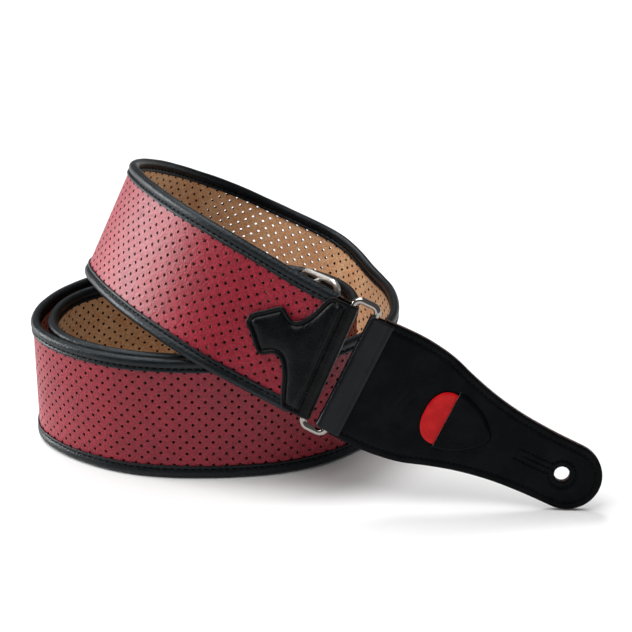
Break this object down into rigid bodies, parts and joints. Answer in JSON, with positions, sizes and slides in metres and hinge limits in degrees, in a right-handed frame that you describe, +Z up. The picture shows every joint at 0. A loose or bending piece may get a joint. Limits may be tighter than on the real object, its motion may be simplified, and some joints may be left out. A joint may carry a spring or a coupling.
{
  "type": "guitar strap",
  "caption": "Coiled 60 mm wide guitar strap with rolled edges, suede back, metal rings, a slider and two leather end tabs, one of them holding a pick.",
  "frame": {"origin": "on the table under the middle of the whole object's bounding box", "axes": "+Z up; +X to the side the front tab points to; the strap's front ring and tab are on the -Y side"},
  "size_m": [0.2652, 0.1898, 0.127],
  "materials": {
    "red_leather": "perforated, semi-gloss",
    "tan_suede": "suede, perforated",
    "black_leather": "satin, fine grain",
    "padding": "matt felt and cord",
    "chrome": "polished",
    "pick_plastic": "smooth"
  },
  "bodies": {
    "coiled_strap": {"red_face_leather": "red_leather", "padding_layer": "padding", "suede_lining": "tan_suede", "upper_edge_binding": "black_leather", "lower_edge_binding": "black_leather", "upper_filler_cord": "padding", "lower_filler_cord": "padding", "front_patch": "black_leather", "front_patch_padding": "padding", "rear_patch": "black_leather"},
    "front_ring": {"front_ring": "chrome"},
    "front_tab": {"front_tab_fold_strip": "black_leather", "front_tab_leather": "black_leather", "front_tab_lining": "black_leather", "pick_pocket": "black_leather"},
    "pick": {"guitar_pick": "pick_plastic"},
    "rear_ring": {"rear_ring": "chrome"},
    "tail": {"tail_strap": "black_leather", "rear_tab_leather": "black_leather", "rear_tab_lining": "black_leather", "rear_tab_reinforcement": "padding"},
    "slider": {"slider": "chrome", "slider_bar_loop": "black_leather"}
  },
  "joints": [
    {"name": "front_ring_hinge", "type": "hinge", "parent": "coiled_strap", "child": "front_ring", "pos_m": [0.01028, -0.07927, 0.06622], "axis": [0.3919, 0.0949, 0.9151], "range_deg": [-88, 0]},
    {"name": "front_tab_hinge", "type": "hinge", "parent": "front_ring", "child": "front_tab", "pos_m": [0.02034, -0.08213, 0.06221], "axis": [0.3919, 0.0949, 0.9151], "range_deg": [-80, 0]},
    {"name": "pick_slide", "type": "slide", "parent": "front_tab", "child": "pick", "axis": [-0.9005, 0.0857, 0.4263], "range_m": [0, 0.022]},
    {"name": "rear_ring_hinge", "type": "hinge", "parent": "coiled_strap", "child": "rear_ring", "pos_m": [-0.02414, 0.04285, 0.03344], "axis": [-0.0108, 0.0003, 0.9999], "range_deg": [-4, 0]},
    {"name": "tail_hinge", "type": "hinge", "parent": "rear_ring", "child": "tail", "pos_m": [-0.01299, 0.04182, 0.03356], "axis": [-0.0108, 0.0003, 0.9999], "range_deg": [-4, 0]},
    {"name": "slider_slide", "type": "slide", "parent": "tail", "child": "slider", "axis": [0.6335, -0.7737, 0.007], "range_m": [-0.004, 0.005]}
  ]
}
